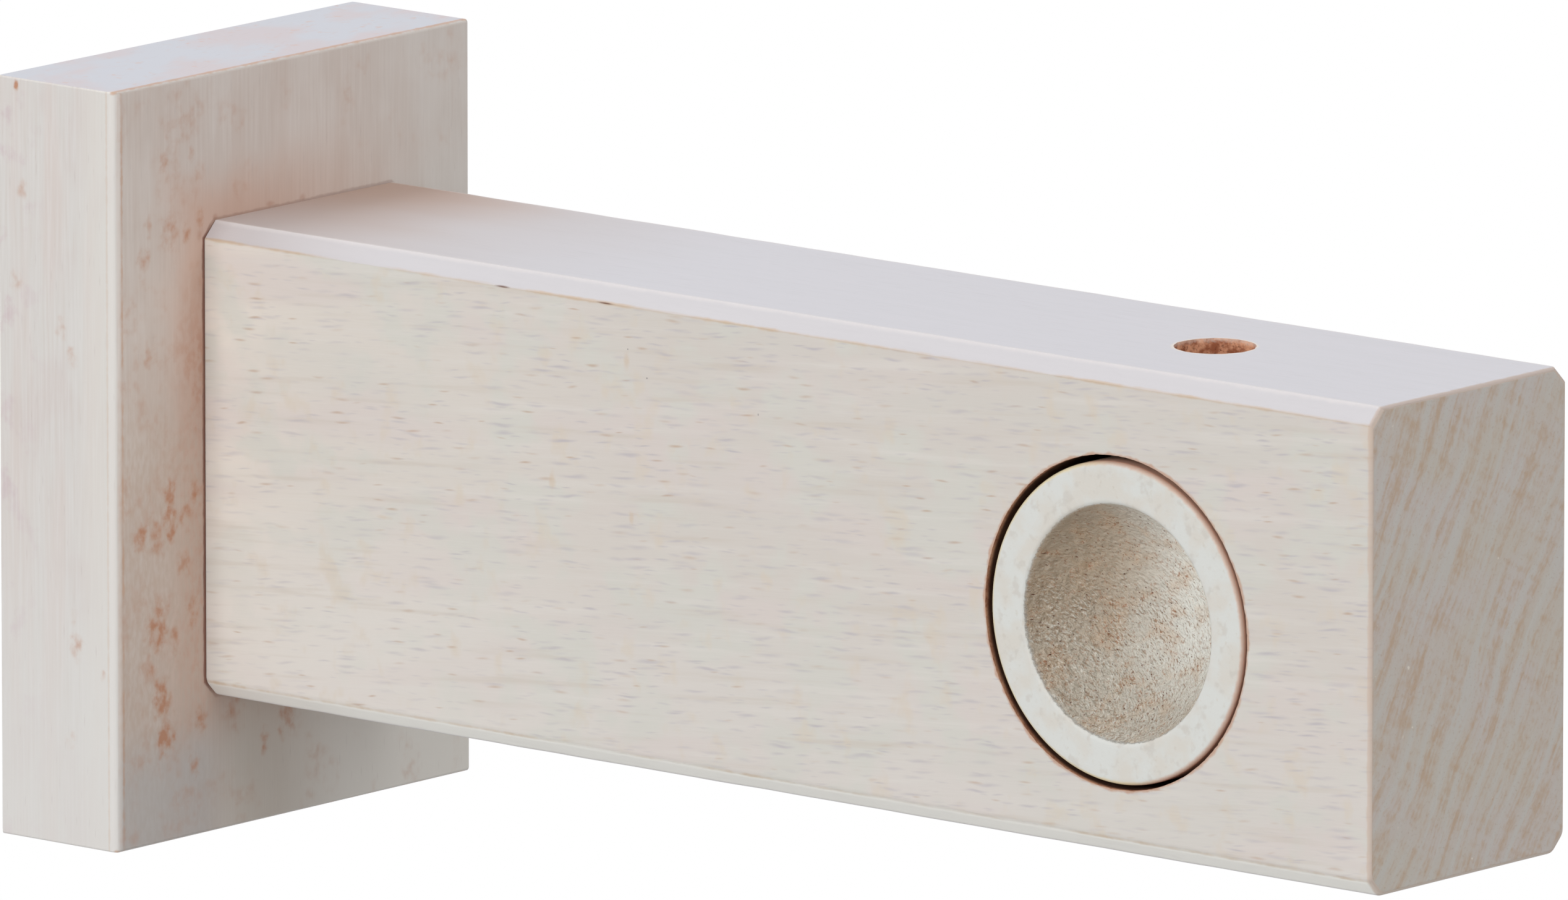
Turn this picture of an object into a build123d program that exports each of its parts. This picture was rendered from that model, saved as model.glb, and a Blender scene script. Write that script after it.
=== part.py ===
from build123d import *
import os

# Wooden wall bracket for a curtain pole. A flat plate lies on the wall, a square arm stands
# out of it, and a turned plug with a dished face sits in the arm's cross bore.
# Sizes are in millimetres. +X leaves the wall along the arm, +Z is up, and the origin is the
# centre of the plate's back face.

# Back plate
plate_thickness = 13.6
plate_width = 47.0
plate_height = 67.5
plate_near_ease = 0.85
plate_front_ease = 0.35

# Arm, screwed and glued a little off the plate's centre
arm_width = 26.4
arm_height = 42.4
arm_chamfer = 1.45
arm_end_ease = 0.35
arm_side_shift = 1.3
arm_drop = 0.5

# Cross bore and the plug that stands in it
pole_distance = 103.5
bore_to_arm_end = 28.0
bore_drop = 0.9
plug_diameter = 28.0
plug_gap = 0.5
plug_settle = 0.1
plug_recess = 0.1
plug_rim_ease = 0.35
dish_mouth_diameter = 20.6
dish_depth = 8.5
dish_lip_ease = 0.35

# Locking screw, sunk in the hole above the bore
lock_hole_diameter = 7.0
lock_hole_depth = 4.6
lock_head_diameter = 6.2
lock_head_height = 2.2
lock_head_ease = 0.9
lock_shank_diameter = 3.5
lock_shank_length = 12.0
lock_point_length = 3.0
lock_pass_gap = 0.35

# Two countersunk screws that draw the arm's root against the plate
joint_screw_inset = 8.2
joint_head_diameter = 9.0
joint_head_recess = 0.4
joint_head_edge = 0.4
joint_shank_diameter = 4.5
joint_screw_length = 45.0
joint_point_length = 4.5
joint_pass_gap = 0.25
joint_hole_spare = 1.5

# Threaded insert in the plate's back, for the bolt that stands out of the wall
insert_diameter = 12.0
insert_length = 12.0
insert_recess = 0.3
insert_thread_radius = 3.4
insert_mouth_ease = 0.8
insert_slot_width = 1.6
insert_slot_depth = 2.0
bolt_relief_diameter = 9.0
bolt_relief_depth = 12.0

# Gap between a screwed or pressed piece and the wood round it, and the cross recesses
thread_gap = 0.02
seat_gap = 0.02
recess_span_share = 0.52
recess_width_share = 0.15
recess_depth_share = 0.3
recess_taper = 12.0

# Places that follow from the sizes above
arm_root_x = plate_thickness
arm_length = pole_distance + bore_to_arm_end
arm_y = arm_side_shift
arm_z = -arm_drop
arm_top_z = arm_z + arm_height / 2
bore_x = arm_root_x + pole_distance
bore_z = arm_z - bore_drop
plug_radius = plug_diameter / 2
bore_radius = plug_radius + plug_gap
plug_z = bore_z - plug_settle
plug_length = arm_width - 2 * plug_recess
plug_near_y = -plug_length / 2
mouth_radius = dish_mouth_diameter / 2
dish_radius = (mouth_radius**2 + dish_depth**2) / (2 * dish_depth)
lock_seat_z = arm_top_z - lock_hole_depth
lock_shank_radius = lock_shank_diameter / 2
lock_tip_z = lock_seat_z - lock_shank_length
joint_head_radius = joint_head_diameter / 2
joint_shank_radius = joint_shank_diameter / 2
joint_tip_x = joint_head_recess + joint_screw_length
joint_screw_reach = arm_height / 2 - joint_screw_inset
joint_screw_places = {
    "upper_joint_screw": arm_z + joint_screw_reach,
    "lower_joint_screw": arm_z - joint_screw_reach,
}
insert_radius = insert_diameter / 2

os.makedirs("parts", exist_ok=True)

plate_back = Plane(origin=(0, 0, 0), x_dir=(0, -1, 0), z_dir=(-1, 0, 0))
arm_root = Plane(origin=(arm_root_x, arm_y, arm_z), x_dir=(0, 1, 0), z_dir=(1, 0, 0))
bore_axis = Axis((bore_x, arm_y, plug_z), (0, 1, 0))
lock_axis = Axis((bore_x, arm_y, lock_seat_z), (0, 0, -1))


def cross_recess(head_diameter):
    """The outline of a cross recess: two slots that cross at the head's centre."""
    span = head_diameter * recess_span_share
    width = head_diameter * recess_width_share
    with BuildSketch(mode=Mode.PRIVATE) as cross:
        Rectangle(span, width)
        Rectangle(width, span)
    return cross.sketch


# Back plate: a block with eased front edges, the near upright one most, drilled from the back
# for the two joint screws and right through at its centre for the threaded insert
with BuildPart() as back_plate:
    with BuildSketch(Plane.YZ):
        Rectangle(plate_width, plate_height)
    extrude(amount=plate_thickness)
    front_edges = back_plate.faces().sort_by(Axis.X)[-1].edges()
    fillet(front_edges.filter_by(Axis.Z).sort_by(Axis.Y)[0], plate_near_ease)
    front_edges = back_plate.faces().sort_by(Axis.X)[-1].edges()
    fillet(front_edges.filter_by(Axis.Z).sort_by(Axis.Y)[-1], plate_front_ease)
    front_edges = back_plate.faces().sort_by(Axis.X)[-1].edges()
    fillet(front_edges.filter_by(Axis.Y), plate_front_ease)
    for place in joint_screw_places.values():
        with Locations(Plane(origin=(0, arm_y, place), z_dir=(-1, 0, 0))):
            CounterSinkHole(
                radius=joint_shank_radius + joint_pass_gap,
                counter_sink_radius=joint_head_radius + joint_head_recess + seat_gap,
                depth=plate_thickness,
                counter_sink_angle=90,
            )
    with Locations(plate_back):
        Hole(radius=insert_radius + thread_gap, depth=plate_thickness)

back_plate.part.label = "back_plate"
export_step(back_plate.part, "parts/back_plate.step")


# Arm: a square bar with its four long edges chamfered and its end eased, bored across for
# the plug, counterbored on top for the locking screw and drilled at the root
with BuildPart() as arm:
    with BuildSketch(arm_root):
        Rectangle(arm_width, arm_height)
    extrude(amount=arm_length)
    chamfer(arm.edges().filter_by(Axis.X), arm_chamfer)
    chamfer(arm.faces().sort_by(Axis.X)[-1].edges(), arm_end_ease)
    with BuildSketch(Plane(origin=(bore_x, arm_y, bore_z), x_dir=(1, 0, 0), z_dir=(0, -1, 0))):
        Circle(bore_radius)
    extrude(amount=arm_width, both=True, mode=Mode.SUBTRACT)
    with Locations(Plane(origin=(bore_x, arm_y, arm_top_z), z_dir=(0, 0, 1))):
        CounterBoreHole(
            radius=lock_shank_radius + lock_pass_gap,
            counter_bore_radius=lock_hole_diameter / 2,
            counter_bore_depth=lock_hole_depth,
            depth=arm_top_z - bore_z,
        )
    for place in joint_screw_places.values():
        with Locations(Plane(origin=(arm_root_x, arm_y, place), z_dir=(-1, 0, 0))):
            Hole(
                radius=joint_shank_radius + thread_gap,
                depth=joint_tip_x - arm_root_x + joint_hole_spare,
            )
    with Locations(Plane(origin=(arm_root_x, 0, 0), z_dir=(-1, 0, 0))):
        Hole(radius=bolt_relief_diameter / 2, depth=bolt_relief_depth)

arm.part.label = "arm"
export_step(arm.part, "parts/arm.step")


# Cup plug: one turned piece with eased rims, a round dish in the end that shows and a
# plain far end, with the hole that the locking screw cuts from above
with BuildPart() as cup_plug:
    with BuildSketch(Plane(origin=(bore_x, arm_y, plug_z), x_dir=(1, 0, 0), z_dir=(0, 0, 1))) as half:
        Rectangle(plug_radius, plug_length, align=(Align.MIN, Align.CENTER))
        with Locations((0, plug_near_y + dish_depth - dish_radius)):
            Circle(dish_radius, mode=Mode.SUBTRACT)
        rim_corners = half.vertices().group_by(Axis.X)[-1]
        chamfer(rim_corners, plug_rim_ease)
        near_corners = half.vertices().group_by(Axis.Y)[0]
        chamfer(near_corners.sort_by(Axis.X)[0], dish_lip_ease)
    revolve(axis=bore_axis)
    with Locations(Plane(origin=(bore_x, arm_y, plug_z + plug_radius), z_dir=(0, 0, 1))):
        Hole(
            radius=lock_shank_radius + thread_gap,
            depth=plug_z + plug_radius - lock_tip_z + thread_gap,
        )

cup_plug.part.label = "cup_plug"
export_step(cup_plug.part, "parts/cup_plug.step")


# Locking screw: a bevelled head seated in the counterbore, and a plain shank with a point
with BuildPart() as locking_screw:
    with BuildSketch(Plane(origin=(bore_x, arm_y, lock_seat_z), x_dir=(1, 0, 0), z_dir=(0, -1, 0))) as half:
        with Locations((0, seat_gap)):
            Rectangle(lock_head_diameter / 2, lock_head_height, align=(Align.MIN, Align.MIN))
        top_corners = half.vertices().group_by(Axis.Y)[-1]
        chamfer(top_corners.sort_by(Axis.X)[-1], lock_head_ease)
        with BuildLine():
            Polyline(
                (0, seat_gap),
                (lock_shank_radius, seat_gap),
                (lock_shank_radius, lock_point_length - lock_shank_length),
                (0, -lock_shank_length),
                close=True,
            )
        make_face()
    revolve(axis=lock_axis)
    with BuildSketch(Plane(origin=(bore_x, arm_y, lock_seat_z + seat_gap + lock_head_height))):
        add(cross_recess(lock_head_diameter))
    extrude(
        amount=-lock_head_diameter * recess_depth_share,
        taper=recess_taper,
        mode=Mode.SUBTRACT,
    )

locking_screw.part.label = "locking_screw"
export_step(locking_screw.part, "parts/locking_screw.step")


# Joint screws: countersunk heads just below the plate's back, shanks on into the arm
for node_name, place in joint_screw_places.items():
    with BuildPart() as joint_screw:
        with BuildSketch(Plane(origin=(0, arm_y, place), x_dir=(1, 0, 0), z_dir=(0, -1, 0))):
            with BuildLine():
                Polyline(
                    (joint_head_recess, 0),
                    (joint_head_recess, joint_head_radius - joint_head_edge),
                    (joint_head_recess + joint_head_edge, joint_head_radius - joint_head_edge),
                    (joint_head_recess + joint_head_radius - joint_shank_radius, joint_shank_radius),
                    (joint_tip_x - joint_point_length, joint_shank_radius),
                    (joint_tip_x, 0),
                    close=True,
                )
            make_face()
        revolve(axis=Axis((0, arm_y, place), (1, 0, 0)))
        with BuildSketch(Plane(origin=(joint_head_recess, arm_y, place), z_dir=(-1, 0, 0))):
            add(cross_recess(joint_head_diameter))
        extrude(
            amount=-joint_head_diameter * recess_depth_share,
            taper=recess_taper,
            mode=Mode.SUBTRACT,
        )
    joint_screw.part.label = node_name
    export_step(joint_screw.part, f"parts/{node_name}.step")


# Wall insert nut: a threaded sleeve with a slotted mouth, turned into the plate's back
with BuildPart() as wall_insert_nut:
    with BuildSketch(Plane(origin=(insert_recess, 0, 0), x_dir=(0, 1, 0), z_dir=(1, 0, 0))):
        Circle(insert_radius)
        Circle(insert_thread_radius, mode=Mode.SUBTRACT)
    extrude(amount=insert_length)
    mouth = wall_insert_nut.faces().sort_by(Axis.X)[0]
    chamfer(mouth.edges().sort_by(SortBy.RADIUS)[0], insert_mouth_ease)
    with BuildSketch(Plane(origin=(insert_recess, 0, 0), x_dir=(0, 1, 0), z_dir=(1, 0, 0))):
        Rectangle(insert_diameter, insert_slot_width)
    extrude(amount=insert_slot_depth, mode=Mode.SUBTRACT)

wall_insert_nut.part.label = "wall_insert_nut"
export_step(wall_insert_nut.part, "parts/wall_insert_nut.step")
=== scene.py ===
import math

import bmesh
import bpy
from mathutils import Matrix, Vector, noise


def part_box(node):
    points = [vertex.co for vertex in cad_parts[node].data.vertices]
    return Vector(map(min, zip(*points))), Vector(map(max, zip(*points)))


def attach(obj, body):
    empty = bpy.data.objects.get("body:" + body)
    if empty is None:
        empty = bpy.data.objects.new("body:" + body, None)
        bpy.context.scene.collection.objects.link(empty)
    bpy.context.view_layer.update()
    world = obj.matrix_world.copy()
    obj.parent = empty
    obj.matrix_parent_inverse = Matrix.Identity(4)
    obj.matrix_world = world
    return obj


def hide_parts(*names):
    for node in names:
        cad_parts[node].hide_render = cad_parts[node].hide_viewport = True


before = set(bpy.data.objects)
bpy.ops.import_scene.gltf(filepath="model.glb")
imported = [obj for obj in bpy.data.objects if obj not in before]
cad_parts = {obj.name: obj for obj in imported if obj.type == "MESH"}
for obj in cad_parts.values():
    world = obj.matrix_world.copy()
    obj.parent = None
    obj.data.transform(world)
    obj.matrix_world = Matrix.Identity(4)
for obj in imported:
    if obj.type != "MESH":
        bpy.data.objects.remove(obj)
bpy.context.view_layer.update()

# Lengths below are in millimetres, in the frame of the model: +X out of the wall along the
# arm, +Y along the wall away from the camera, +Z up.
MM = 0.001


def box_mm(node):
    """The lowest and highest corners of a solid, in millimetres."""
    low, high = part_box(node)
    return Vector(low) / MM, Vector(high) / MM


arm_low, arm_high = box_mm("arm")
plate_low, plate_high = box_mm("back_plate")
plug_low, plug_high = box_mm("cup_plug")
arm_mid = (arm_low + arm_high) / 2
plug_mid = (plug_low + plug_high) / 2

arm_chamfer = 1.45
arm_end_ease = 0.45
bore_radius = 14.5
bore_x = plug_mid.x
bore_z = plug_mid.z + 0.1
hole_radius = 3.5
hole_floor_z = arm_high.z - 4.6
pass_radius = 2.1
joint_half_spacing = 13.0
joint_hole_radius = 2.27
joint_hole_end_x = 46.9
plate_pass_radius = 2.5
countersink_radius = 4.92
insert_hole_radius = 6.02
relief_radius = 4.5
relief_depth = 12.0
plate_upright_ease = 0.85
plate_level_ease = 0.35
dish_mouth_radius = 10.3
dish_depth = 8.5
plug_rim_ease = 0.45
plug_lip_ease = 0.4


# Meshes


def wander(point, wavelength, seed):
    """A smooth random value between about -1 and 1 at a point, the same on every run."""
    shift = Vector((seed * 7.3, seed * 3.1, seed * 5.7))
    return noise.noise(Vector(point) / wavelength + shift)


def rounded(corners, radii, steps=3):
    """The closed outline through the corners, with each corner rounded to its own radius."""
    outline = []
    count = len(corners)
    for index, (corner, radius) in enumerate(zip(corners, radii)):
        here = Vector(corner)
        back = (Vector(corners[index - 1]) - here).normalized()
        ahead = (Vector(corners[(index + 1) % count]) - here).normalized()
        half_angle = back.angle(ahead) / 2
        reach = radius / math.tan(half_angle)
        centre = here + (back + ahead).normalized() * radius / math.sin(half_angle)
        start = here + back * reach - centre
        end = here + ahead * reach - centre
        for step in range(steps + 1):
            outline.append(centre + start.slerp(end, step / steps).normalized() * radius)
    return outline


def mesh_object(name, bm, materials):
    """A new object with the mesh, its normals outwards, and the materials in its slots."""
    bmesh.ops.recalc_face_normals(bm, faces=bm.faces)
    mesh = bpy.data.meshes.new(name)
    bm.to_mesh(mesh)
    bm.free()
    for material in materials:
        mesh.materials.append(material)
    piece = bpy.data.objects.new(name, mesh)
    bpy.context.scene.collection.objects.link(piece)
    return piece


def loft(name, rings, materials):
    """A closed skin through rings of points, flat at both ends. One point makes a pole."""
    bm = bmesh.new()
    rows = [[bm.verts.new(Vector(point) * MM) for point in ring] for ring in rings]
    for first, second in zip(rows, rows[1:]):
        count = max(len(first), len(second))
        for index in range(count):
            after = (index + 1) % count
            corners = []
            places = ((first, index), (first, after), (second, after), (second, index))
            for row, place in places:
                vert = row[place] if len(row) > 1 else row[0]
                if vert not in corners:
                    corners.append(vert)
            bm.faces.new(corners)
    for row in (rows[0], rows[-1]):
        if len(row) > 2:
            bm.faces.new(row)
    return mesh_object(name, bm, materials)


def turned(name, centre, axis, profile, steps, materials, shift=None):
    """A turned shape: profile holds (radius, place along the axis); shift moves each point."""
    rings = []
    for radius, along in profile:
        ring = []
        for step in range(steps if radius > 0 else 1):
            angle = 2 * math.pi * step / steps
            flat = (radius * math.cos(angle), radius * math.sin(angle))
            if axis == "X":
                point = Vector((along, centre[0] + flat[0], centre[1] + flat[1]))
            elif axis == "Y":
                point = Vector((centre[0] + flat[0], along, centre[1] + flat[1]))
            else:
                point = Vector((centre[0] + flat[0], centre[1] + flat[1], along))
            ring.append(shift(point, radius, along) if shift else point)
        rings.append(ring)
    return loft(name, rings, materials)


def settle(piece, angle=32):
    """Applies the piece's modifiers and shades it smooth, with sharp edges above the angle."""
    mesh = piece.data
    mesh.shade_smooth()
    mesh.set_sharp_from_angle(angle=math.radians(angle))
    weighted = piece.modifiers.new("weighted", "WEIGHTED_NORMAL")
    weighted.keep_sharp = True
    apply_modifiers(piece)


def apply_modifiers(piece):
    graph = bpy.context.evaluated_depsgraph_get()
    graph.update()
    old = piece.data
    piece.data = bpy.data.meshes.new_from_object(piece.evaluated_get(graph))
    piece.modifiers.clear()
    bpy.data.meshes.remove(old)


def cut(piece, cutter):
    """Takes the cutter's shape out of the piece; the new walls keep the cutter's material."""
    boolean = piece.modifiers.new("cut", "BOOLEAN")
    boolean.operation = "DIFFERENCE"
    boolean.solver = "EXACT"
    boolean.material_mode = "TRANSFER"
    boolean.object = cutter
    apply_modifiers(piece)
    bpy.data.objects.remove(cutter)


# Materials


def colour(red, green, blue):
    """A colour given in display values from 0 to 255, as a shader takes it."""
    values = []
    for value in (red, green, blue):
        share = value / 255
        values.append(share / 12.92 if share <= 0.04045 else ((share + 0.055) / 1.055) ** 2.4)
    return (*values, 1.0)


class Field:
    """A value that a material works out at every point of the surface."""

    def __init__(self, graph, socket):
        self.graph = graph
        self.socket = socket

    def __add__(self, other):
        return self.graph.math("ADD", self, other)

    def __radd__(self, other):
        return self.graph.math("ADD", other, self)

    def __sub__(self, other):
        return self.graph.math("SUBTRACT", self, other)

    def __rsub__(self, other):
        return self.graph.math("SUBTRACT", other, self)

    def __mul__(self, other):
        return self.graph.math("MULTIPLY", self, other)

    def __rmul__(self, other):
        return self.graph.math("MULTIPLY", other, self)

    def __truediv__(self, other):
        return self.graph.math("DIVIDE", self, other)


class Graph:
    """Builds one material's nodes. x, y and z are the point's place in millimetres."""

    def __init__(self, name, roughness, specular=0.25, metallic=0.0):
        self.material = bpy.data.materials.new(name)
        self.material.use_nodes = True
        self.tree = self.material.node_tree
        self.tree.nodes.clear()
        self.output = self.tree.nodes.new("ShaderNodeOutputMaterial")
        self.shader = self.tree.nodes.new("ShaderNodeBsdfPrincipled")
        self.tree.links.new(self.shader.outputs[0], self.output.inputs[0])
        self.shader.inputs["Roughness"].default_value = roughness
        self.shader.inputs["Specular IOR Level"].default_value = specular
        self.shader.inputs["Metallic"].default_value = metallic
        place = self.tree.nodes.new("ShaderNodeTexCoord")
        metres = Field(self, place.outputs["Object"])
        self.point = self.vector_math("SCALE", metres, scale=1 / MM)
        self.x, self.y, self.z = self.split(self.point)
        self.nx, self.ny, self.nz = self.split(Field(self, place.outputs["Normal"]))
        self.ragged = None

    def put(self, socket, value):
        if isinstance(value, Field):
            self.tree.links.new(value.socket, socket)
        else:
            socket.default_value = value

    def math(self, operation, first, second=0.0, clamp=False):
        node = self.tree.nodes.new("ShaderNodeMath")
        node.operation = operation
        node.use_clamp = clamp
        self.put(node.inputs[0], first)
        self.put(node.inputs[1], second)
        return Field(self, node.outputs[0])

    def vector_math(self, operation, first, second=None, scale=None):
        node = self.tree.nodes.new("ShaderNodeVectorMath")
        node.operation = operation
        self.put(node.inputs[0], first)
        if second is not None:
            self.put(node.inputs[1], second)
        if scale is not None:
            node.inputs["Scale"].default_value = scale
        return Field(self, node.outputs["Value" if operation == "LENGTH" else "Vector"])

    def split(self, vector):
        node = self.tree.nodes.new("ShaderNodeSeparateXYZ")
        self.put(node.inputs[0], vector)
        return [Field(self, output) for output in node.outputs]

    def join(self, x, y, z=0.0):
        node = self.tree.nodes.new("ShaderNodeCombineXYZ")
        for socket, value in zip(node.inputs, (x, y, z)):
            self.put(socket, value)
        return Field(self, node.outputs[0])

    def noise(self, vector, detail=2.0, roughness=0.5, distortion=0.0):
        node = self.tree.nodes.new("ShaderNodeTexNoise")
        node.inputs["Scale"].default_value = 1.0
        node.inputs["Detail"].default_value = detail
        node.inputs["Roughness"].default_value = roughness
        node.inputs["Distortion"].default_value = distortion
        self.put(node.inputs["Vector"], vector)
        return Field(self, node.outputs[0])

    def mottle(self, scale, detail, roughness=0.5):
        """Noise that is the same in all directions; scale is in cells per millimetre."""
        return self.noise(self.vector_math("SCALE", self.point, scale=scale), detail, roughness)

    def cells(self, vector):
        """Scattered points, one to each unit cell: the distance to the nearest, and its lot."""
        node = self.tree.nodes.new("ShaderNodeTexVoronoi")
        node.voronoi_dimensions = "2D"
        node.inputs["Scale"].default_value = 1.0
        self.put(node.inputs["Vector"], vector)
        return Field(self, node.outputs["Distance"]), Field(self, node.outputs["Color"])

    def step(self, value, low, high, out_low=0.0, out_high=1.0):
        """Turns value smoothly from out_low at low to out_high at high."""
        node = self.tree.nodes.new("ShaderNodeMapRange")
        node.interpolation_type = "SMOOTHSTEP"
        for socket, entry in zip(node.inputs, (value, low, high, out_low, out_high)):
            self.put(socket, entry)
        return Field(self, node.outputs[0])

    def blend(self, share, first, second):
        node = self.tree.nodes.new("ShaderNodeMix")
        node.data_type = "RGBA"
        self.put(node.inputs[0], share)
        self.put(node.inputs[6], first)
        self.put(node.inputs[7], second)
        return Field(self, node.outputs[2])

    def tint(self, share, base, red, green, blue):
        """Lays a colour, given in display values, over the base."""
        return self.blend(share, base, colour(red, green, blue))

    def pick(self, share, first, second):
        """A number that is first where share is 0 and second where it is 1."""
        return first + (second - first) * share

    def absolute(self, value):
        return self.math("ABSOLUTE", value)

    def greatest(self, *values):
        best = values[0]
        for value in values[1:]:
            best = self.math("MAXIMUM", best, value)
        return best

    def distance(self, first, second):
        """Length of a flat offset given by its two parts."""
        return self.vector_math("LENGTH", self.join(first, second))

    def flecks(self, along, across, length, width, density, seed, keep=0.7):
        """Scattered spindles along the grain: 1 at their middles, 0 outside."""
        pitch_across = math.sqrt(width / (length * density))
        pitch_along = 1 / (density * pitch_across)
        waver = self.noise(self.join(along * 0.3, across * 0.8, seed), detail=1.0) - 0.5
        place = self.join(
            along / pitch_along + seed * 3.7,
            (across + waver * width * 1.5) / pitch_across + seed * 1.9,
        )
        distance, lot = self.cells(place)
        lot_one, lot_two, lot_three = self.split(lot)
        radius = (lot_one * 0.6 + 0.5) * (0.5 * length / pitch_along)
        body = self.step(distance / radius, 1.0, 0.0)
        kept = self.step(lot_two, 1 - keep, 1 - keep + 0.05)
        return body * kept * (lot_three * 0.7 + 0.3)

    def spot(self, centre, size, wobble=0.5):
        """1 inside an uneven patch round centre, falling to 0 at its half sizes."""
        if self.ragged is None:
            self.ragged = self.mottle(1.3, detail=3.0) - 0.5
        offset = self.vector_math("SUBTRACT", self.point, centre)
        reach = self.vector_math("LENGTH", self.vector_math("DIVIDE", offset, size))
        return self.step(reach + self.ragged * wobble * 2, 1.0, 0.1)

    def bump(self, height, distance_mm, strength=1.0):
        node = self.tree.nodes.new("ShaderNodeBump")
        node.inputs["Distance"].default_value = distance_mm * MM
        node.inputs["Strength"].default_value = strength
        self.put(node.inputs["Height"], height)
        self.tree.links.new(node.outputs[0], self.shader.inputs["Normal"])

    def finish(self, base, roughness=None):
        self.put(self.shader.inputs["Base Color"], base)
        if roughness is not None:
            self.put(self.shader.inputs["Roughness"], roughness)
        return self.material


GRAIN_RISE = math.radians(4.5)


def arm_paint():
    """Limed beech on the arm's long faces, with brown wood worn bare along the arrises."""
    g = Graph("limed_beech_arm", 0.62)
    level = g.step(g.absolute(g.nz), 0.8, 0.97)
    upright = g.step(g.absolute(g.nz), 0.55, 0.2)
    rise_cos, rise_sin = math.cos(GRAIN_RISE), math.sin(GRAIN_RISE)
    side_along = g.x * rise_cos + g.z * rise_sin
    side_across = g.z * rise_cos - g.x * rise_sin
    along = g.pick(upright, g.x, side_along)
    across = g.pick(upright, g.y + g.z * 0.3, side_across)

    clouds = g.noise(g.join(along * 0.03, across * 0.1, 3.0), detail=2.0)
    streaks = g.noise(g.join(along * 0.05, across * 0.9, 8.0), detail=3.0)
    pinks = g.noise(g.join(along * 0.035, across * 0.16, 21.0), detail=2.0)
    smears = g.noise(g.join(g.x * 0.36, g.z * 0.3, g.y * 0.2 + 31.0), detail=3.0)
    greens = g.noise(g.join(g.x * 0.16, g.z * 0.2, g.y * 0.2 + 60.0), detail=3.0)
    # Painted light: the side is made paler near the root, to offset the plate's shade there, and
    # a little darker further along the arm.
    side = g.blend(g.step(g.x, 14.0, 30.0), colour(226, 218, 209), colour(217, 210, 202))
    side = g.tint(g.step(g.x, 25.0, 75.0), side, 210, 203, 196)
    side = g.tint(g.step(g.z, 2.0, -19.0) * 0.55, side, 218, 213, 208)
    side = g.tint(g.step(pinks, 0.46, 0.64) * 0.7, side, 214, 204, 199)
    side = g.tint(g.step(greens, 0.48, 0.64) * 0.7, side, 209, 208, 200)
    side = g.tint(g.step(clouds, 0.5, 0.66) * 0.4, side, 208, 205, 198)
    # Painted light: the lower side near the root is made paler, to offset the plate's shade.
    root_low = g.step(g.x, 60.0, 20.0) * g.step(g.z, 0.0, -12.0)
    side = g.tint(root_low * 0.5, side, 224, 218, 211)
    side = g.tint(g.step(streaks, 0.5, 0.75) * 0.5, side, 220, 215, 209)
    side = g.tint(g.step(streaks, 0.45, 0.27) * 0.5, side, 202, 192, 181)
    side = g.tint(g.step(smears, 0.56, 0.74) * 0.5, side, 213, 200, 183)

    # Painted light: the top faces take a cool tint that stands for cool light from above.
    top = g.blend(streaks, colour(214, 212, 218), colour(209, 208, 213))
    chamfer = g.blend(streaks, colour(207, 204, 207), colour(201, 198, 201))
    # Painted light: the downward-facing chamfer is whitened, standing for light bounced up from
    # the floor.
    chamfer = g.tint(g.step(g.nz, 0.1, -0.3), chamfer, 241, 239, 233)
    base = g.blend(level, g.blend(upright, chamfer, side), top)
    root_edge = g.x + (clouds - 0.5) * 12.0
    # Painted shade: the top turns grey towards the plate, where the plate shades it.
    root_shade = g.step(root_edge, 60.0, 24.0) * level
    base = g.tint(root_shade * 0.75, base, 200, 192, 191)
    # Thin lime showing the warm wood near the root, together with painted shade, darkest in the
    # far corner by the plate.
    thin_lime_and_corner_shade = g.step(root_edge, 38.0, 14.0) * (1 - upright) * g.pick(level, 0.45, 1.0)
    thin_lime_and_corner_shade = thin_lime_and_corner_shade * g.step(g.y, -12.0, 10.0, 0.4, 1.0)
    base = g.tint(thin_lime_and_corner_shade, base, 191, 166, 153)

    crowd = g.noise(g.join(along * 0.06, across * 0.2, 40.0), detail=2.0)
    crowd = g.step(crowd, 0.3, 0.6, 0.4, 1.0)
    large = g.flecks(along, across, length=4.4, width=0.46, density=0.16, seed=1.0, keep=0.85)
    middling = g.flecks(along, across, length=3.2, width=0.38, density=0.2, seed=5.0, keep=0.8)
    small = g.flecks(along, across, length=2.2, width=0.3, density=0.35, seed=9.0)
    grey_marks = g.greatest(large, middling * 0.85, small * 0.6) * crowd
    grey_marks = grey_marks * g.step(g.x, 15.0, 55.0, 0.65, 1.0)
    strength = g.pick(level, g.pick(upright, 0.1, 0.85), 0.18)
    base = g.tint(grey_marks * strength, base, 186, 180, 185)
    tan_marks = g.flecks(along, across, length=2.4, width=0.36, density=0.11, seed=13.0, keep=0.8)
    rusty = g.step(g.noise(g.join(g.x * 0.04, g.z * 0.06, 50.0), detail=1.0), 0.4, 0.6)
    tan_marks = tan_marks * g.pick(rusty, 0.4, 1.0) * upright
    base = g.tint(tan_marks * 0.65, base, 184, 152, 126)

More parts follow.
